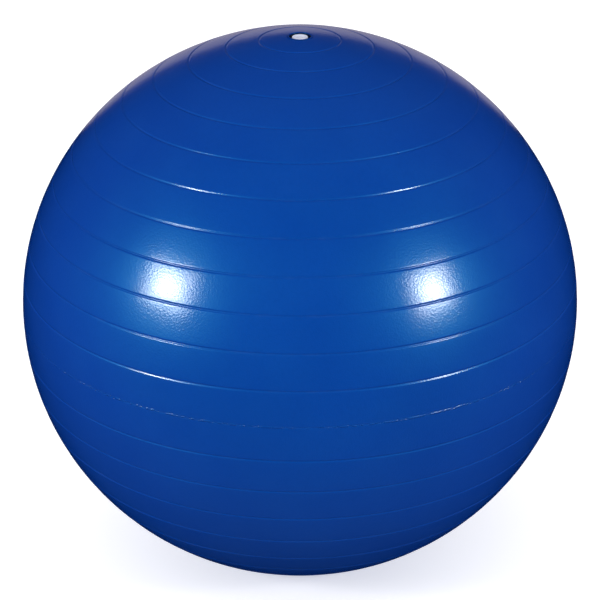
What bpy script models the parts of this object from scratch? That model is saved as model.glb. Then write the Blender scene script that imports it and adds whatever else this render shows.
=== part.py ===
"""A 65 cm exercise ball: the ringed skin, the valve seat welded into it, and the push-in plug.

All sizes are in metres. +Z runs up through the valve. The origin is the centre of the flat patch that
the ball rests on. The plug slides along +Z, out of its seat.
"""

from math import asin, atan2, cos, exp, pi, radians, sin, tau

import bmesh
import bpy

# The inflated ball
EQUATOR_RADIUS = 0.325
FLATTENING = 0.993  # its height over its width, had it no flat patch and no crown
CROWN_RISE = 0.0040  # the thick valve holds the skin's pole this much proud
CROWN_SPREAD = radians(12.5)
WALL = 0.0008
PATCH_RADIUS = 0.035  # where the ball's own weight presses it flat
BALL_SEGMENTS = 44

# The ring grooves, which follow circles of latitude from the valve down to the patch
GROOVE_COUNT = 23
GROOVE_PITCH = radians(7.5)
GROOVE_STRAY = radians(0.9)  # the blown-up skin stretches unevenly, so the rings stray from the pitch
STRAY_START = radians(19)
STRAY_LENGTH = radians(105)
FIRST_GROOVE = radians(8.1)
GROOVE_WIDTH = 0.0038
GROOVE_DEPTH = 0.00065

# The valve: heights are above the ball's pole, and radii are from the valve's axis
SKIN_HOLE_RADIUS = 0.0148
COLLAR_OUTER_RADIUS = 0.0145
COLLAR_INNER_RADIUS = 0.0124
COLLAR_CREST = 0.0
RECESS_FLOOR = -0.0045
CUP_RADIUS = 0.0136  # the seat's body round the recess
CUP_BOTTOM = -0.0057
BORE_RADIUS = 0.0043
BORE_CHAMFER = 0.0006
FLANGE_RADIUS = 0.0220
FLANGE_EDGE = 0.0010
FLANGE_ROOT = 0.0016
NECK_TOP_RADIUS = 0.0078
NECK_TIP_RADIUS = 0.0064
NECK_TIP = -0.0160
SEAT_GAP = 0.0003  # between two pieces that touch
VALVE_SEGMENTS = 32

# The plug
HEAD_RADIUS = 0.0090
HEAD_TOP = -0.0009
HEAD_EDGE_RADIUS = 0.0009
DIMPLE_RADIUS = 0.0052
DIMPLE_DEPTH = 0.0007
STEM_ROOT_RADIUS = 0.0039
STEM_TIP_RADIUS = 0.0034
STEM_TIP = -0.0215
STEM_CHAMFER = 0.0008
RING_RADIUS = 0.0041
RING_HEIGHT = 0.0018
RING_FIRST = -0.0060
RING_SPACING = 0.0042
RING_COUNT = 3
STEM_BORE_RADIUS = 0.0021
STEM_BORE_TOP = -0.0055

SHARP_ANGLE = radians(35)
WELD_DISTANCE = 1e-6

POLE_RADIUS = EQUATOR_RADIUS * FLATTENING
PATCH_ANGLE = pi - asin(PATCH_RADIUS / EQUATOR_RADIUS)  # from the pole down to the patch's edge
CENTRE_HEIGHT = -POLE_RADIUS * cos(PATCH_ANGLE)
POLE_HEIGHT = CENTRE_HEIGHT + POLE_RADIUS + CROWN_RISE


def clear_scene():
    for obj in list(bpy.data.objects):
        bpy.data.objects.remove(obj, do_unlink=True)


def material(name, colour, roughness):
    made = bpy.data.materials.new(name)
    made.use_nodes = True
    shader = made.node_tree.nodes["Principled BSDF"]
    shader.inputs["Base Color"].default_value = (*colour, 1)
    shader.inputs["Roughness"].default_value = roughness
    shader.inputs["Metallic"].default_value = 0
    return made


def turned(name, profile, segments, finish, closed=False):
    """A solid turned about Z from points (radius, height), which run down its outer side."""
    shape = bmesh.new()
    points = [shape.verts.new((radius, 0, height)) for radius, height in profile]
    edges = [shape.edges.new(ends) for ends in zip(points, points[1:])]
    if closed:
        edges.append(shape.edges.new((points[-1], points[0])))
    bmesh.ops.spin(
        shape, geom=points + edges, cent=(0, 0, 0), axis=(0, 0, 1), angle=tau, steps=segments, use_merge=True
    )
    bmesh.ops.remove_doubles(shape, verts=shape.verts, dist=WELD_DISTANCE)
    bmesh.ops.recalc_face_normals(shape, faces=shape.faces)
    mesh = bpy.data.meshes.new(name)
    shape.to_mesh(mesh)
    shape.free()
    mesh.materials.append(finish)
    mesh.shade_smooth()
    mesh.set_sharp_from_angle(angle=SHARP_ANGLE)
    made = bpy.data.objects.new(name, mesh)
    bpy.context.scene.collection.objects.link(made)
    return made


def arc(centre, radius, start, end, steps):
    """Points from angle start to angle end, in degrees from straight up, clockwise towards +radius."""
    angles = [radians(start + (end - start) * step / steps) for step in range(steps + 1)]
    return [(centre[0] + radius * sin(angle), centre[1] + radius * cos(angle)) for angle in angles]


def skin_point(angle, depth=0.0):
    """The point (radius, height) at this angle from the pole, this deep below the outer surface."""
    normal = atan2(sin(angle) / EQUATOR_RADIUS, cos(angle) / POLE_RADIUS)
    radius = EQUATOR_RADIUS * sin(angle) - depth * sin(normal)
    crown = CROWN_RISE * exp(-((angle / CROWN_SPREAD) ** 2))
    height = CENTRE_HEIGHT + POLE_RADIUS * cos(angle) + crown - depth * cos(normal)
    return radius, height


def under_skin(radius, depth):
    """A height above the pole: this deep below the outer surface, at this radius near the valve."""
    return skin_point(asin(radius / EQUATOR_RADIUS), depth)[1] - POLE_HEIGHT


def groove_angles():
    even = [GROOVE_PITCH * number for number in range(2, GROOVE_COUNT + 1)]
    strays = [GROOVE_STRAY * sin((angle - STRAY_START) / STRAY_LENGTH * tau) for angle in even]
    return [FIRST_GROOVE] + [angle + stray for angle, stray in zip(even, strays)]


def skin_section(depth):
    """The skin's section this deep below its outer surface, from the valve's hole to the patch's edge."""
    half = GROOVE_WIDTH / 2 / EQUATOR_RADIUS
    hole_angle = asin(SKIN_HOLE_RADIUS / EQUATOR_RADIUS)
    flange_angle = asin((FLANGE_RADIUS + SEAT_GAP) / EQUATOR_RADIUS)
    points = [skin_point(hole_angle, depth), skin_point(flange_angle, depth)]
    for angle in groove_angles():
        points += [
            skin_point(angle - half, depth),
            skin_point(angle, depth + GROOVE_DEPTH),
            skin_point(angle + half, depth),
        ]
    return points + [skin_point(PATCH_ANGLE, depth)]


def ball_skin(finish):
    """The wall keeps its thickness, so the grooves show as ribs inside."""
    inside = [(0.0, WALL)] + skin_section(WALL)[::-1]
    outside = skin_section(0.0) + [(0.0, 0.0)]
    return turned("ball_skin", inside + outside, BALL_SEGMENTS, finish)


def valve_seat(finish):
    crest_radius = (COLLAR_OUTER_RADIUS - COLLAR_INNER_RADIUS) / 2
    crest_centre = (COLLAR_INNER_RADIUS + crest_radius, COLLAR_CREST - crest_radius)
    flange_top = under_skin(COLLAR_OUTER_RADIUS, WALL + SEAT_GAP)
    flange_rim = under_skin(FLANGE_RADIUS, WALL + SEAT_GAP)
    profile = arc(crest_centre, crest_radius, -80, 90, 8)
    profile += [
        (COLLAR_OUTER_RADIUS, flange_top),
        (FLANGE_RADIUS - FLANGE_EDGE / 2, flange_rim),
        (FLANGE_RADIUS, flange_rim - FLANGE_EDGE / 2),
        (FLANGE_RADIUS - FLANGE_EDGE / 2, flange_rim - FLANGE_EDGE),
        (CUP_RADIUS, flange_top - FLANGE_ROOT),
        (CUP_RADIUS, CUP_BOTTOM + FLANGE_EDGE / 2),
        (CUP_RADIUS - FLANGE_EDGE / 2, CUP_BOTTOM),
        (NECK_TOP_RADIUS + FLANGE_EDGE, CUP_BOTTOM),
        (NECK_TOP_RADIUS, CUP_BOTTOM - FLANGE_EDGE),
        (NECK_TIP_RADIUS, NECK_TIP + BORE_CHAMFER),
        (NECK_TIP_RADIUS - BORE_CHAMFER, NECK_TIP),
        (BORE_RADIUS + BORE_CHAMFER / 2, NECK_TIP),
        (BORE_RADIUS, NECK_TIP + BORE_CHAMFER / 2),
        (BORE_RADIUS, RECESS_FLOOR - BORE_CHAMFER),
        (BORE_RADIUS + BORE_CHAMFER, RECESS_FLOOR),
        (COLLAR_INNER_RADIUS - 2 * BORE_CHAMFER, RECESS_FLOOR),
        (COLLAR_INNER_RADIUS - BORE_CHAMFER / 2, RECESS_FLOOR + BORE_CHAMFER / 2),
    ]
    return turned("valve_seat", profile, VALVE_SEGMENTS, finish, closed=True)


def stem_radius(height):
    """The stem tapers evenly from under the head to its tip."""
    share = height / STEM_TIP
    return STEM_ROOT_RADIUS + (STEM_TIP_RADIUS - STEM_ROOT_RADIUS) * share


def sealing_ring(top):
    """A ring that leads in from below and holds with its steeper upper side."""
    bottom = top - RING_HEIGHT
    crest = top - RING_HEIGHT / 3
    return [(stem_radius(top), top), (RING_RADIUS, crest), (stem_radius(bottom), bottom)]


def valve_plug(finish):
    underside = RECESS_FLOOR + SEAT_GAP
    dimple_floor = HEAD_TOP - DIMPLE_DEPTH
    profile = [
        (0.0, dimple_floor),
        (DIMPLE_RADIUS * 0.55, dimple_floor + DIMPLE_DEPTH * 0.08),
        (DIMPLE_RADIUS * 0.82, dimple_floor + DIMPLE_DEPTH * 0.45),
        (DIMPLE_RADIUS, HEAD_TOP),
    ]
    profile += arc((HEAD_RADIUS - HEAD_EDGE_RADIUS, HEAD_TOP - HEAD_EDGE_RADIUS), HEAD_EDGE_RADIUS, 0, 90, 4)
    profile += [
        (HEAD_RADIUS, underside + HEAD_EDGE_RADIUS / 2),
        (HEAD_RADIUS - HEAD_EDGE_RADIUS / 2, underside),
        (STEM_ROOT_RADIUS, underside),
    ]
    for index in range(RING_COUNT):
        profile += sealing_ring(RING_FIRST - RING_SPACING * index)
    profile += [
        (STEM_TIP_RADIUS, STEM_TIP + STEM_CHAMFER),
        (STEM_TIP_RADIUS - STEM_CHAMFER, STEM_TIP),
        (STEM_BORE_RADIUS, STEM_TIP),
        (STEM_BORE_RADIUS, STEM_BORE_TOP - STEM_BORE_RADIUS / 2),
        (STEM_BORE_RADIUS / 2, STEM_BORE_TOP),
        (0.0, STEM_BORE_TOP),
    ]
    return turned("valve_plug", profile, VALVE_SEGMENTS, finish)


def main():
    clear_scene()
    blue_pvc = material("blue_pvc", (0.006, 0.055, 0.33), 0.33)
    blue_insert = material("blue_insert", (0.005, 0.045, 0.28), 0.38)
    white_plug = material("white_plug", (0.82, 0.84, 0.88), 0.35)
    ball_frame = bpy.data.objects.new("ball_frame", None)
    valve_frame = bpy.data.objects.new("valve_frame", None)
    valve_frame.location = (0, 0, POLE_HEIGHT)
    valve_frame.parent = ball_frame
    for empty in (ball_frame, valve_frame):
        bpy.context.scene.collection.objects.link(empty)
    ball_skin(blue_pvc).parent = ball_frame
    valve_seat(blue_insert).parent = valve_frame
    valve_plug(white_plug).parent = valve_frame


main()
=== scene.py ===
"""The looks of the exercise ball: its ringed PVC skin, the valve seat and the push-in plug, in a pale studio.

Sizes are in metres. Angles are in radians, but the studio's are in degrees. Overall sizes are read from
the CAD's boxes. The rest repeats the CAD's own named values, refined with the small roundings, the
wavering groove depths, the shallow broken parting line, the leathery grain and the nub on the plug
that the CAD leaves out.
"""

from math import asin, cos, pi, radians, sin, tau

import bpy
import numpy as np
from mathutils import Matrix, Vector


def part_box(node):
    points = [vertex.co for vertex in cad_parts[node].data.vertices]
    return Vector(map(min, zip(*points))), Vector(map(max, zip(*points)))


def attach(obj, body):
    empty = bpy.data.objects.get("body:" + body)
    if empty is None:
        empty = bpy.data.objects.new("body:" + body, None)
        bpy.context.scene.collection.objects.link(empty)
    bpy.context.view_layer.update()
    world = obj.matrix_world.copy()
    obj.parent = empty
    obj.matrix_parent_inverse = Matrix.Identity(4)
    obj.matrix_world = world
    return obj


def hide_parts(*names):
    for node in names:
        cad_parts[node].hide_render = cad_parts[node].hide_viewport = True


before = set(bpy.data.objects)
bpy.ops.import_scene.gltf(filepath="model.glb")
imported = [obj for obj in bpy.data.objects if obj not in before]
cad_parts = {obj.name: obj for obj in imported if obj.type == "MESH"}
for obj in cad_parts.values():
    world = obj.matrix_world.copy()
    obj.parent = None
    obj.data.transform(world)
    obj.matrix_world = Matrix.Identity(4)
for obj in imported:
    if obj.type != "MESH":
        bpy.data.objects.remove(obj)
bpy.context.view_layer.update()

SKIN_LOW, SKIN_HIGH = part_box("ball_skin")
SEAT_LOW, SEAT_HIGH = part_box("valve_seat")
PLUG_LOW, PLUG_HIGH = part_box("valve_plug")

# The skin
EQUATOR_RADIUS = (SKIN_HIGH.x - SKIN_LOW.x) / 2
FLATTENING = 0.993
POLE_RADIUS = EQUATOR_RADIUS * FLATTENING
CROWN_RISE = 0.0040  # the thick valve holds the skin's pole this much proud
CROWN_SPREAD = radians(12.5)
WALL = 0.0008
PATCH_RADIUS = 0.035
PATCH_BLEND = 0.0006  # how far the skin lifts before the flat patch has turned into the sphere
PATCH_ANGLE = pi - asin(PATCH_RADIUS / EQUATOR_RADIUS)
CENTRE_HEIGHT = -POLE_RADIUS * cos(PATCH_ANGLE)
POLE_HEIGHT = CENTRE_HEIGHT + POLE_RADIUS + CROWN_RISE
SKIN_HOLE_RADIUS = 0.0148
HOLE_LIP = 0.0003  # the rounding of the hole's edge
HOLE_ANGLE = asin(SKIN_HOLE_RADIUS / EQUATOR_RADIUS)
SKIN_SEGMENTS = 224
START_RINGS = 3  # rings of points between the hole's lip and the first groove
BOTTOM_RINGS = 6  # rings from the last groove to just past the edge of the patch
BOTTOM_MARGIN = radians(1.5)
PATCH_RINGS = 6
INNER_BOTTOM_RINGS = 12

# The ring grooves
GROOVE_COUNT = 23
PARTING_RING = 12  # the ring on the equator, where the mould's halves met
GROOVE_PITCH = radians(7.5)
GROOVE_STRAY = radians(0.9)  # the blown-up skin stretches unevenly, so the rings stray from the pitch
STRAY_START = radians(19)
STRAY_LENGTH = radians(105)
FIRST_GROOVE = radians(8.1)
GROOVE_WIDTH = 0.0038
GROOVE_DEPTH = 0.00065
PARTING_DEPTH = 0.0003
DEPTH_WAVER = 0.22
GROOVE_SAMPLES = 8
BAND_STEPS = (0.0005, 0.0030, 0.0110)  # rings of points beside a groove, this far from its edges

# The valve: heights are above the ball's pole
COLLAR_CREST = SEAT_HIGH.z - POLE_HEIGHT
FLANGE_RADIUS = SEAT_HIGH.x
NECK_TIP = SEAT_LOW.z - POLE_HEIGHT
COLLAR_OUTER_RADIUS = 0.0145
COLLAR_INNER_RADIUS = 0.0124
RECESS_FLOOR = -0.0045
CUP_RADIUS = 0.0136
CUP_BOTTOM = -0.0057
BORE_RADIUS = 0.0043
NECK_TOP_RADIUS = 0.0078
NECK_TIP_RADIUS = 0.0064
FLANGE_EDGE = 0.0010
FLANGE_ROOT = 0.0016
SEAT_GAP = 0.0003
VALVE_SEGMENTS = 128
FILLET_STEPS = 5
LONGEST_FILLET = 0.45  # as a share of the edge that it takes its room from

# The plug
HEAD_RADIUS = PLUG_HIGH.x
HEAD_TOP = PLUG_HIGH.z - POLE_HEIGHT
STEM_TIP = PLUG_LOW.z - POLE_HEIGHT
DIMPLE_RADIUS = 0.0052
DIMPLE_DEPTH = 0.0007
STEM_ROOT_RADIUS = 0.0039
STEM_TIP_RADIUS = 0.0034
RING_RADIUS = 0.0041
RING_HEIGHT = 0.0018
RING_FIRST = -0.0060
RING_SPACING = 0.0042
RING_COUNT = 3
STEM_BORE_RADIUS = 0.0021
STEM_BORE_TOP = -0.0055
DIMPLE_FLOOR_SHARE = 0.72  # the flat floor's radius over the dimple's
GATE_RADIUS = 0.0007  # the nub that moulding left in the middle of the dimple
GATE_BASE_SHARE = 1.2  # its base's radius over its top's
GATE_HEIGHT = 0.00022


# Shapes

def skin_points(angles, depth=0.0):
    """Radii and heights at these angles from the pole, this deep below the skin's outer surface."""
    angles = np.asarray(angles, float)
    normals = np.arctan2(np.sin(angles) / EQUATOR_RADIUS, np.cos(angles) / POLE_RADIUS)
    radii = EQUATOR_RADIUS * np.sin(angles) - depth * np.sin(normals)
    crown = CROWN_RISE * np.exp(-((angles / CROWN_SPREAD) ** 2))
    heights = CENTRE_HEIGHT + POLE_RADIUS * np.cos(angles) + crown - depth * np.cos(normals)
    return radii, heights


def groove_angles():
    even = [GROOVE_PITCH * number for number in range(2, GROOVE_COUNT + 1)]
    strays = [GROOVE_STRAY * sin((angle - STRAY_START) / STRAY_LENGTH * tau) for angle in even]
    return [FIRST_GROOVE] + [angle + stray for angle, stray in zip(even, strays)]


def skin_angles():
    """Angles from the valve's hole down to the bottom pole, closest together in the grooves."""
    half = GROOVE_WIDTH / 2 / EQUATOR_RADIUS
    beside = half + np.array(BAND_STEPS) / EQUATOR_RADIUS
    offsets = np.concatenate([-beside[::-1], np.linspace(-half, half, GROOVE_SAMPLES + 1), beside])
    rings = np.concatenate([angle + offsets for angle in groove_angles()])
    lip_end = HOLE_ANGLE + 2 * HOLE_LIP / EQUATOR_RADIUS
    rings_above = rings[rings < PATCH_ANGLE]  # the others would lie in the flat patch
    start = np.linspace(lip_end, rings[0], START_RINGS + 1)[:-1]
    bottom = np.linspace(rings_above[-1], PATCH_ANGLE + BOTTOM_MARGIN, BOTTOM_RINGS)[1:]
    patch = np.linspace(bottom[-1], pi, PATCH_RINGS + 2)[1:-1]
    return np.concatenate([start, rings_above, bottom, patch])


def waves(azimuths, seed, count=5, slowest=2, fastest=17):
    """A smooth closed wander round the ball, from about -1 to 1."""
    draw = np.random.RandomState(seed)
    total = np.zeros_like(azimuths)
    for frequency in draw.randint(slowest, fastest, count):
        total += draw.uniform(0.4, 1.0) * np.sin(frequency * azimuths + draw.uniform(0, tau))
    return total / count


def skin_depths(angles, azimuths):
    """How far below the plain ball each point lies, and how much of a groove it is in, from 0 to 1."""
    half = GROOVE_WIDTH / 2 / EQUATOR_RADIUS
    depths = np.zeros((len(angles), len(azimuths)))
    marks = np.zeros((len(angles), len(azimuths)))
    for number, angle in enumerate(groove_angles(), start=1):
        across = np.clip((angles - angle) / half, -1, 1)
        section = (0.5 + 0.5 * np.cos(pi * across))[:, None]
        depth = PARTING_DEPTH if number == PARTING_RING else GROOVE_DEPTH
        depths += depth * section * (1 + DEPTH_WAVER * waves(azimuths, number)[None, :])
        marks = np.maximum(marks, section)
    return depths, marks


def flattened(heights, floor):
    """Heights held at or above the floor, with a short smooth blend where they reach it."""
    above = heights - floor
    blend = (above + PATCH_BLEND) ** 2 / (4 * PATCH_BLEND)
    return floor + np.where(above > PATCH_BLEND, above, np.where(above < -PATCH_BLEND, 0.0, blend))


def shell(name, radii, heights):
    """A closed turned mesh from tables of radii and heights, a row a ring. Its ends are on the axis."""
    rings, segments = radii.shape
    azimuths = np.arange(segments) * tau / segments
    x, y = radii * np.cos(azimuths), radii * np.sin(azimuths)
    body = np.stack([x, y, heights], axis=2)[1:-1].reshape(-1, 3)
    vertices = np.vstack([[0, 0, heights[0, 0]], body, [0, 0, heights[-1, 0]]])
    last = len(vertices) - 1
    around = np.arange(segments)
    after = (around + 1) % segments
    faces = [(0, 1 + a, 1 + b) for a, b in zip(around, after)]
    for ring in range(rings - 3):
        top, bottom = 1 + ring * segments, 1 + (ring + 1) * segments
        faces += [(top + a, bottom + a, bottom + b, top + b) for a, b in zip(around, after)]
    bottom = 1 + (rings - 3) * segments
    faces += [(bottom + a, last, bottom + b) for a, b in zip(around, after)]
    mesh = bpy.data.meshes.new(name)
    mesh.from_pydata(vertices.tolist(), [], [tuple(map(int, face)) for face in faces])
    mesh.shade_smooth()
    made = bpy.data.objects.new(name, mesh)
    bpy.context.scene.collection.objects.link(made)
    return made


def rounded(corners):
    """A profile from (radius, height, fillet) corners, each fillet drawn as a short curve."""
    points = [Vector(corner[:2]) for corner in corners]
    profile = []
    for index, (here, corner) in enumerate(zip(points, corners)):
        fillet = corner[2]
        if not fillet:
            profile.append(tuple(here))
            continue
        before, after = points[index - 1] - here, points[(index + 1) % len(points)] - here
        start = here + before.normalized() * min(fillet, before.length * LONGEST_FILLET)
        end = here + after.normalized() * min(fillet, after.length * LONGEST_FILLET)
        for step in range(FILLET_STEPS + 1):
            share = step / FILLET_STEPS
            on_start, on_end = start.lerp(here, share), here.lerp(end, share)
            profile.append(tuple(on_start.lerp(on_end, share)))
    return profile


def turned(name, profile):
    """A closed mesh turned from a profile that starts and ends on the axis."""
    table = np.array(profile)
    radii = np.repeat(table[:, :1], VALVE_SEGMENTS, axis=1)
    heights = np.repeat(table[:, 1:], VALVE_SEGMENTS, axis=1) + POLE_HEIGHT
    return shell(name, radii, heights)


def turned_ring(name, profile):
    """A closed mesh turned from a closed profile that never meets the axis."""
    count = len(profile)
    vertices, faces = [], []
    for step in range(VALVE_SEGMENTS):
        azimuth = tau * step / VALVE_SEGMENTS
        vertices += [(r * cos(azimuth), r * sin(azimuth), z + POLE_HEIGHT) for r, z in profile]
        here, after = step * count, (step + 1) % VALVE_SEGMENTS * count
        for point in range(count):
            following = (point + 1) % count
            faces.append((here + point, here + following, after + following, after + point))
    mesh = bpy.data.meshes.new(name)
    mesh.from_pydata(vertices, [], faces)
    mesh.shade_smooth()
    made = bpy.data.objects.new(name, mesh)
    bpy.context.scene.collection.objects.link(made)
    return made


def lip():
    """Radii and heights of the hole's edge, from inside the wall over the rounding to the outer surface."""
    away = np.array([0.0, 0.0, 0.12, 0.5, 1.1]) * HOLE_LIP
    depths = np.array([WALL, HOLE_LIP, 0.45 * HOLE_LIP, 0.12 * HOLE_LIP, 0.0])
    return skin_points(HOLE_ANGLE + away / EQUATOR_RADIUS, depths)


def inner_wall():
    """Radii and heights of the skin's inner surface, from the bottom pole up to the welding flange."""
    half = GROOVE_WIDTH / 2 / EQUATOR_RADIUS
    flange_angle = asin((FLANGE_RADIUS + SEAT_GAP) / EQUATOR_RADIUS)
    grooves = [angle + side for angle in groove_angles() for side in (-half, 0.0, half)]
    angles = np.array([flange_angle] + [angle for angle in grooves if angle < PATCH_ANGLE - half])
    angles = np.append(angles, np.linspace(angles[-1], pi, INNER_BOTTOM_RINGS + 2)[1:-1])[::-1]
    depths = WALL + skin_depths(angles, np.zeros(1))[0][:, 0]
    radii, heights = skin_points(angles, depths)
    return radii, flattened(heights, WALL)


def make_skin():
    """The hollow skin. Its "groove" attribute says how much of a groove each point is in."""
    angles = skin_angles()
    azimuths = np.arange(SKIN_SEGMENTS) * tau / SKIN_SEGMENTS
    depths, marks = skin_depths(angles, azimuths)
    base_radii, base_heights = skin_points(angles)
    deep_radii, deep_heights = skin_points(angles, 1.0)
    outer_radii = base_radii[:, None] + (deep_radii - base_radii)[:, None] * depths
    outer_heights = base_heights[:, None] + (deep_heights - base_heights)[:, None] * depths
    inner_radii, inner_heights = inner_wall()
    lip_radii, lip_heights = lip()

    def table(column):
        return np.repeat(np.asarray(column)[:, None], SKIN_SEGMENTS, axis=1)

    radii = np.vstack([table([0.0]), table(inner_radii), table(lip_radii), outer_radii, table([0.0])])
    heights = np.vstack([
        table([WALL]), table(inner_heights), table(lip_heights), flattened(outer_heights, 0.0), table([0.0])
    ])
    made = shell("skin", radii, heights)
    plain = np.zeros((len(inner_radii) + len(lip_radii), SKIN_SEGMENTS))
    values = np.concatenate([[0.0], np.vstack([plain, marks]).ravel(), [0.0]])
    attribute = made.data.attributes.new("groove", "FLOAT", "POINT")
    attribute.data.foreach_set("value", values.astype(np.float32))
    return made


def under_skin(radius, depth):
    """A height above the pole: this deep below the skin's outer surface, at this radius."""
    return float(skin_points(asin(radius / EQUATOR_RADIUS), depth)[1]) - POLE_HEIGHT


def make_seat():
    flange_top = under_skin(COLLAR_OUTER_RADIUS, WALL + SEAT_GAP)
    flange_rim = under_skin(FLANGE_RADIUS, WALL + SEAT_GAP)
    return turned_ring("valve_insert", rounded([
        (COLLAR_INNER_RADIUS, RECESS_FLOOR, 0.0006),
        (COLLAR_INNER_RADIUS, COLLAR_CREST, 0.0010),
        (COLLAR_OUTER_RADIUS, COLLAR_CREST, 0.0010),
        (COLLAR_OUTER_RADIUS, flange_top, 0.0002),
        (FLANGE_RADIUS, flange_rim, 0.0003),
        (FLANGE_RADIUS, flange_rim - FLANGE_EDGE, 0.0004),
        (CUP_RADIUS, flange_top - FLANGE_ROOT, 0.0010),
        (CUP_RADIUS, CUP_BOTTOM, 0.0008),
        (NECK_TOP_RADIUS, CUP_BOTTOM, 0.0012),
        (NECK_TIP_RADIUS, NECK_TIP, 0.0007),
        (BORE_RADIUS, NECK_TIP, 0.0005),
        (BORE_RADIUS, RECESS_FLOOR, 0.0006),
    ]))


def stem_radius(height):
    return STEM_ROOT_RADIUS + (STEM_TIP_RADIUS - STEM_ROOT_RADIUS) * height / STEM_TIP


def sealing_ring(top):
    crest, bottom = top - RING_HEIGHT / 3, top - RING_HEIGHT
    return [
        (stem_radius(top), top, 0.0002),
        (RING_RADIUS, crest, 0.0004),
        (stem_radius(bottom), bottom, 0.0003),
    ]


def make_plug():
    underside = RECESS_FLOOR + SEAT_GAP
    dimple_floor = HEAD_TOP - DIMPLE_DEPTH
    corners = [
        (0.0, dimple_floor + GATE_HEIGHT, 0),
        (GATE_RADIUS, dimple_floor + GATE_HEIGHT, 0.0002),
        (GATE_RADIUS * GATE_BASE_SHARE, dimple_floor, 0.0002),
        (DIMPLE_RADIUS * DIMPLE_FLOOR_SHARE, dimple_floor, 0.0012),
        (DIMPLE_RADIUS, HEAD_TOP, 0.0009),
        (HEAD_RADIUS, HEAD_TOP, 0.0010),
        (HEAD_RADIUS, underside, 0.0004),
        (STEM_ROOT_RADIUS, underside, 0.0006),
    ]
    for index in range(RING_COUNT):
        corners += sealing_ring(RING_FIRST - RING_SPACING * index)
    corners += [
        (STEM_TIP_RADIUS, STEM_TIP, 0.0008),
        (STEM_BORE_RADIUS, STEM_TIP, 0.0004),
        (STEM_BORE_RADIUS, STEM_BORE_TOP, 0.0012),
        (0.0, STEM_BORE_TOP, 0),
    ]
    return turned("plug", rounded(corners))


# Looks

def new_material(name):
    made = bpy.data.materials.new(name)
    made.use_nodes = True
    return made, made.node_tree, made.node_tree.nodes["Principled BSDF"]


def put(tree, made, socket, value):
    """Sets a node's input to a number or colour, or links it to another node's output."""
    if isinstance(value, bpy.types.NodeSocket):
        tree.links.new(value, made.inputs[socket])
    else:
        made.inputs[socket].default_value = value


def place(tree):
    """Positions on the object, in metres."""
    return tree.nodes.new("ShaderNodeTexCoord").outputs["Object"]


def noise(tree, size, detail=3.0, rough=0.5, distortion=0.0):
    """Noise whose patches are about this size, in metres."""
    made = tree.nodes.new("ShaderNodeTexNoise")
    put(tree, made, "Vector", place(tree))
    put(tree, made, "Scale", 1 / size)
    put(tree, made, "Detail", detail)
    put(tree, made, "Roughness", rough)
    put(tree, made, "Distortion", distortion)
    return made.outputs["Fac"]


def cells(tree, size):
    """Rounded cells of about this size, in metres."""
    made = tree.nodes.new("ShaderNodeTexVoronoi")
    made.feature = "SMOOTH_F1"
    put(tree, made, "Vector", place(tree))
    put(tree, made, "Scale", 1 / size)
    put(tree, made, "Smoothness", 0.5)
    return made.outputs["Distance"]


def span(tree, value, low, high, new_low=0.0, new_high=1.0):
    """A value mapped smoothly from one range to another, and held inside the new one."""
    made = tree.nodes.new("ShaderNodeMapRange")
    made.interpolation_type = "SMOOTHSTEP"
    sockets = ("Value", "From Min", "From Max", "To Min", "To Max")
    for socket, number in zip(sockets, (value, low, high, new_low, new_high)):
        put(tree, made, socket, number)
    return made.outputs["Result"]


def maths(tree, operation, first, second=0.0):
    made = tree.nodes.new("ShaderNodeMath")
    made.operation = operation
    put(tree, made, 0, first)
    put(tree, made, 1, second)
    return made.outputs[0]


def added(tree, first, second):
    return maths(tree, "ADD", first, second)


def times(tree, first, second):
    return maths(tree, "MULTIPLY", first, second)


def blended(tree, share, first, second):
    """Two colours mixed by a share from 0 to 1."""
    made = tree.nodes.new("ShaderNodeMix")
    made.data_type = "RGBA"
    put(tree, made, 0, share)
    put(tree, made, 6, first)
    put(tree, made, 7, second)
    return made.outputs[2]


def bump(tree, height, distance, below=None):
    """Relief of this height in metres for a 0 to 1 texture, on top of the relief below."""
    made = tree.nodes.new("ShaderNodeBump")
    put(tree, made, "Strength", 1.0)
    put(tree, made, "Distance", distance)
    put(tree, made, "Height", height)
    if below is not None:
        put(tree, made, "Normal", below)
    return made.outputs["Normal"]


def attribute(tree, name):
    made = tree.nodes.new("ShaderNodeAttribute")
    made.attribute_name = name
    return made.outputs["Fac"]


def distance_from(tree, height):
    """How far above or below this height each point is, in metres."""
    made = tree.nodes.new("ShaderNodeSeparateXYZ")
    put(tree, made, 0, place(tree))
    return maths(tree, "ABSOLUTE", maths(tree, "SUBTRACT", made.outputs["Z"], height))


BLUE = (0.0004, 0.0355, 0.279, 1)
DEEP_BLUE = (0.0002, 0.0300, 0.246, 1)
LIGHT_BLUE = (0.0008, 0.0425, 0.311, 1)
DUST = (0.06, 0.12, 0.36, 1)
CLOUD_SHARE = 0.5
FLECK_SHARE = 0.35
DUST_SHARE = 0.10
SCUFF_SHARE = 0.25
SCUFF_HEIGHT = 0.03  # scuffs are only this near the floor
GROOVE_ROUGHNESS = 0.06  # what the grooves add to the skin's roughness
SCUFF_ROUGHNESS = 0.2
GRAIN_CELLS = 0.0020
GRAIN_NOISE = 0.0012
GRAIN_NOISE_SHARE = 0.6
GRAIN_RELIEF = 0.000072
FLASH_RELIEF = 0.0007  # the broken ridge that the mould's seam leaves in the parting ring
FLASH_WIDTH = 0.0016
PVC_TINT = (0.01, 0.62, 1.0, 1)

INSERT_BLUE = (0.0004, 0.022, 0.170, 1)
# a dark blue painted into the valve's recess as its shade
RECESS_SHADE_BLUE = (0.0040, 0.008, 0.040, 1)
RECESS_SHADE_DEPTH = 0.0014  # this far below the collar's crest the insert is all painted shade
INSERT_TINT = (0.02, 0.60, 1.0, 1)
INSERT_RELIEF = 0.00004

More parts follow.
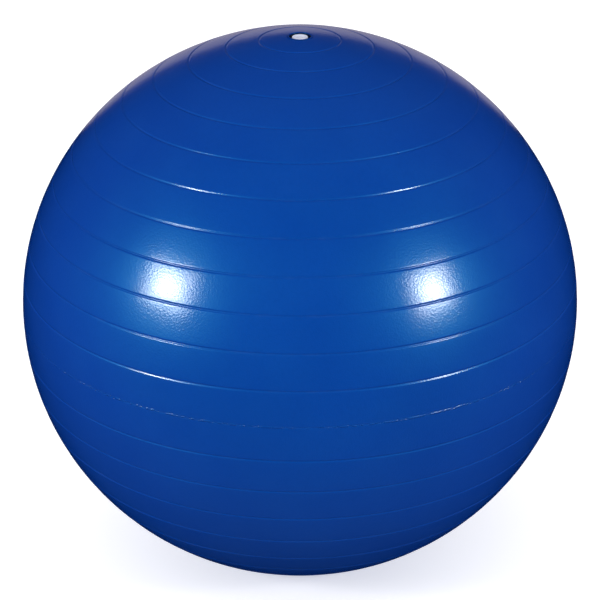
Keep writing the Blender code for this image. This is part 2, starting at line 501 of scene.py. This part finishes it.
WHITE = (0.66, 0.69, 0.82, 1)
SHADED_WHITE = (0.58, 0.62, 0.76, 1)
PLUG_GRIME = (0.34, 0.36, 0.46, 1)
PLUG_GRIME_SHARE = 0.18
PLUG_RELIEF = 0.00002


def skin_colour(tree, groove, scuffed):
    """Faint clouds and flecks in the PVC's blue, and dust in the grooves and in the scuffs."""
    cloud = span(tree, noise(tree, 0.11, detail=4), 0.3, 0.7)
    fleck = span(tree, noise(tree, 0.004, detail=2), 0.35, 0.75)
    colour = blended(tree, times(tree, cloud, CLOUD_SHARE), BLUE, LIGHT_BLUE)
    colour = blended(tree, times(tree, fleck, FLECK_SHARE), colour, DEEP_BLUE)
    dusting = span(tree, noise(tree, 0.03, detail=5, rough=0.65), 0.45, 0.75)
    in_groove = times(tree, times(tree, groove, dusting), DUST_SHARE)
    colour = blended(tree, in_groove, colour, DUST)
    return blended(tree, times(tree, scuffed, SCUFF_SHARE), colour, DUST)


def skin_relief(tree):
    """A fine leathery grain, and the broken ridge of the mould's seam on top of it."""
    fine = times(tree, noise(tree, GRAIN_NOISE, detail=2), GRAIN_NOISE_SHARE)
    relief = bump(tree, added(tree, cells(tree, GRAIN_CELLS), fine), GRAIN_RELIEF)
    parting_height = float(skin_points(groove_angles()[PARTING_RING - 1])[1])
    flash = span(tree, distance_from(tree, parting_height), 0.0002, FLASH_WIDTH, 1.0, 0.0)
    broken = span(tree, noise(tree, 0.007, detail=3, rough=0.7), 0.42, 0.60)
    return bump(tree, times(tree, flash, broken), FLASH_RELIEF, relief)


def skin_look():
    """Blue PVC under the thin gloss that the mould gave it, scuffed where the ball stands."""
    made, tree, shader = new_material("blue_pvc_grained")
    groove = attribute(tree, "groove")
    underneath = span(tree, distance_from(tree, 0.0), 0.0, SCUFF_HEIGHT, 1.0, 0.0)
    scuff = span(tree, noise(tree, 0.012, detail=6, rough=0.7, distortion=1.5), 0.52, 0.62)
    scuffed = times(tree, underneath, scuff)
    put(tree, shader, "Base Color", skin_colour(tree, groove, scuffed))

    worn = span(tree, noise(tree, 0.05, detail=5, rough=0.6), 0.3, 0.75, 0.38, 0.45)
    rough = added(tree, worn, times(tree, groove, GROOVE_ROUGHNESS))
    put(tree, shader, "Roughness", added(tree, rough, times(tree, scuffed, SCUFF_ROUGHNESS)))

    relief = skin_relief(tree)
    put(tree, shader, "Normal", relief)
    put(tree, shader, "Coat Normal", relief)
    put(tree, shader, "Specular IOR Level", 0.85)
    put(tree, shader, "Specular Tint", PVC_TINT)
    put(tree, shader, "Coat Weight", 1.0)
    put(tree, shader, "Coat Roughness", 0.155)
    put(tree, shader, "Coat IOR", 1.5)
    return made


def seat_look():
    """The same PVC without the gloss, darker, with shade painted into its colour down in the recess."""
    made, tree, shader = new_material("blue_pvc_insert")
    cloud = span(tree, noise(tree, 0.006, detail=3), 0.3, 0.7)
    clean = blended(tree, cloud, INSERT_BLUE, DEEP_BLUE)
    # painted shade: the colour darkens with depth below the collar's crest, where the recess lies in shade
    recess_shade = span(tree, distance_from(tree, POLE_HEIGHT + COLLAR_CREST), 0.0002, RECESS_SHADE_DEPTH)
    put(tree, shader, "Base Color", blended(tree, recess_shade, clean, RECESS_SHADE_BLUE))
    put(tree, shader, "Roughness", span(tree, noise(tree, 0.003, detail=4), 0.3, 0.7, 0.32, 0.46))
    put(tree, shader, "Normal", bump(tree, noise(tree, 0.0012, detail=3), INSERT_RELIEF))
    put(tree, shader, "Specular Tint", INSERT_TINT)
    return made


def plug_look():
    """White moulded plastic: faint flow clouding, a fine satin texture and flecks of grime."""
    made, tree, shader = new_material("white_moulded_plastic")
    cloud = span(tree, noise(tree, 0.005, detail=4), 0.3, 0.7)
    colour = blended(tree, cloud, SHADED_WHITE, WHITE)
    grime = span(tree, noise(tree, 0.0016, detail=5, rough=0.7), 0.55, 0.75)
    colour = blended(tree, times(tree, grime, PLUG_GRIME_SHARE), colour, PLUG_GRIME)
    put(tree, shader, "Base Color", colour)
    put(tree, shader, "Roughness", span(tree, noise(tree, 0.002, detail=3), 0.3, 0.7, 0.28, 0.42))
    put(tree, shader, "Normal", bump(tree, noise(tree, 0.0009, detail=3), PLUG_RELIEF))
    return made


def floor_look():
    """A pale floor, faintly uneven, with enough light of its own that only a soft shadow shows."""
    made, tree, shader = new_material("pale_floor")
    shade = span(tree, noise(tree, 0.6, detail=3), 0.3, 0.7, 0.92, 0.95)
    joined = tree.nodes.new("ShaderNodeCombineColor")
    for channel in range(3):
        put(tree, joined, channel, shade)
    put(tree, shader, "Base Color", joined.outputs[0])
    put(tree, shader, "Roughness", 0.9)
    put(tree, shader, "Emission Color", (1, 1, 1, 1))
    put(tree, shader, "Emission Strength", FLOOR_GLOW)
    return made


# The studio, with its angles in degrees

BALL_CENTRE = Vector((0, 0, CENTRE_HEIGHT))
CAMERA_DISTANCE = 8 * EQUATOR_RADIUS
CAMERA_ELEVATION = 25.2
LENS_MM = 132
FLOOR_SIZE = 60.0
FLOOR_DROP = 0.0002
FLOOR_GLOW = 0.38
WORLD_STRENGTH = 0.78

# The two softboxes: side, azimuth, elevation, size, and size of the brighter core
SOFTBOXES = (
    ("left", -54.9, 20.2, (0.77, 0.62), (0.29, 0.21)),
    ("right", 54.7, 19.3, (0.63, 0.60), (0.25, 0.21)),
)
SOFTBOX_DISTANCE = 2.40
SOFTBOX_RADIANCE = 12.0
CORE_DISTANCE = 2.38  # just in front of the softbox
CORE_RADIANCE = 32.0
GLOW_DISTANCE = 3.0
GLOW_SIZE = (2.4, 1.9)
GLOW_RADIANCE = 0.30
GLOW_COLOUR = (0.95, 0.86, 1.0)
OVERHEAD_DISTANCE = 3.0
OVERHEAD_SIZE = (2.6, 2.6)
OVERHEAD_RADIANCE = 0.18


def direction(azimuth_degrees, elevation_degrees):
    """A unit vector. Azimuth 0 points at the camera, and 90 to its right."""
    azimuth, elevation = radians(azimuth_degrees), radians(elevation_degrees)
    return Vector((sin(azimuth) * cos(elevation), -cos(azimuth) * cos(elevation), sin(elevation)))


def aim(obj, target):
    obj.rotation_euler = (target - obj.location).to_track_quat("-Z", "Y").to_euler()


def make_camera():
    camera = bpy.data.objects.new("camera", bpy.data.cameras.new("camera"))
    bpy.context.scene.collection.objects.link(camera)
    camera.location = BALL_CENTRE + direction(0, CAMERA_ELEVATION) * CAMERA_DISTANCE
    aim(camera, BALL_CENTRE)
    camera.data.lens = LENS_MM
    bpy.context.scene.camera = camera


def make_light(name, towards, distance, size, radiance, colour=(1, 1, 1), shape="RECTANGLE"):
    """A soft light that the camera doesn't see, facing the ball. Radiance is its brightness."""
    data = bpy.data.lights.new(name, "AREA")
    data.shape = shape
    data.size, data.size_y = size
    area = size[0] * size[1] * (pi / 4 if shape == "ELLIPSE" else 1)
    data.energy = 4 * area * radiance
    data.color = colour
    light = bpy.data.objects.new(name, data)
    bpy.context.scene.collection.objects.link(light)
    light.location = BALL_CENTRE + towards * distance
    aim(light, BALL_CENTRE)
    light.visible_camera = False
    return light


def make_lights():
    for side, azimuth, elevation, size, core_size in SOFTBOXES:
        towards = direction(azimuth, elevation)
        make_light("softbox_" + side, towards, SOFTBOX_DISTANCE, size, SOFTBOX_RADIANCE)
        make_light("softbox_core_" + side, towards, CORE_DISTANCE, core_size, CORE_RADIANCE)
    make_light(
        "back_glow", direction(180, 0), GLOW_DISTANCE, GLOW_SIZE, GLOW_RADIANCE, GLOW_COLOUR, "ELLIPSE"
    )
    overhead = make_light(
        "overhead", direction(0, 88), OVERHEAD_DISTANCE, OVERHEAD_SIZE, OVERHEAD_RADIANCE
    )
    overhead.visible_glossy = False


def make_world():
    """An even pale light from all round, a little cooler from above."""
    world = bpy.data.worlds.new("studio")
    bpy.context.scene.world = world
    world.use_nodes = True
    tree = world.node_tree
    background = tree.nodes["Background"]
    split = tree.nodes.new("ShaderNodeSeparateXYZ")
    put(tree, split, 0, tree.nodes.new("ShaderNodeTexCoord").outputs["Generated"])
    shade = span(tree, split.outputs["Z"], -0.8, 0.6)
    put(tree, background, "Color", blended(tree, shade, (1, 1, 1, 1), (0.96, 0.96, 1, 1)))
    put(tree, background, "Strength", WORLD_STRENGTH)
    world.cycles_visibility.glossy = False


def make_floor():
    half = FLOOR_SIZE / 2
    mesh = bpy.data.meshes.new("floor")
    corners = [(-half, -half), (half, -half), (half, half), (-half, half)]
    mesh.from_pydata([(x, y, -FLOOR_DROP) for x, y in corners], [], [(0, 1, 2, 3)])
    floor = bpy.data.objects.new("floor", mesh)
    bpy.context.scene.collection.objects.link(floor)
    mesh.materials.append(floor_look())
    floor.visible_glossy = False
    floor.visible_diffuse = False
    floor.visible_shadow = False


def finish_piece(piece, look, body, node):
    """Gives a piece its look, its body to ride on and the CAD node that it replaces."""
    piece.data.materials.append(look)
    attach(piece, body)
    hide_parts(node)


make_camera()
finish_piece(make_skin(), skin_look(), "ball", "ball_skin")
finish_piece(make_seat(), seat_look(), "ball", "valve_seat")
finish_piece(make_plug(), plug_look(), "plug", "valve_plug")
make_lights()
make_world()
make_floor()
bpy.context.scene.view_settings.view_transform = "Standard"
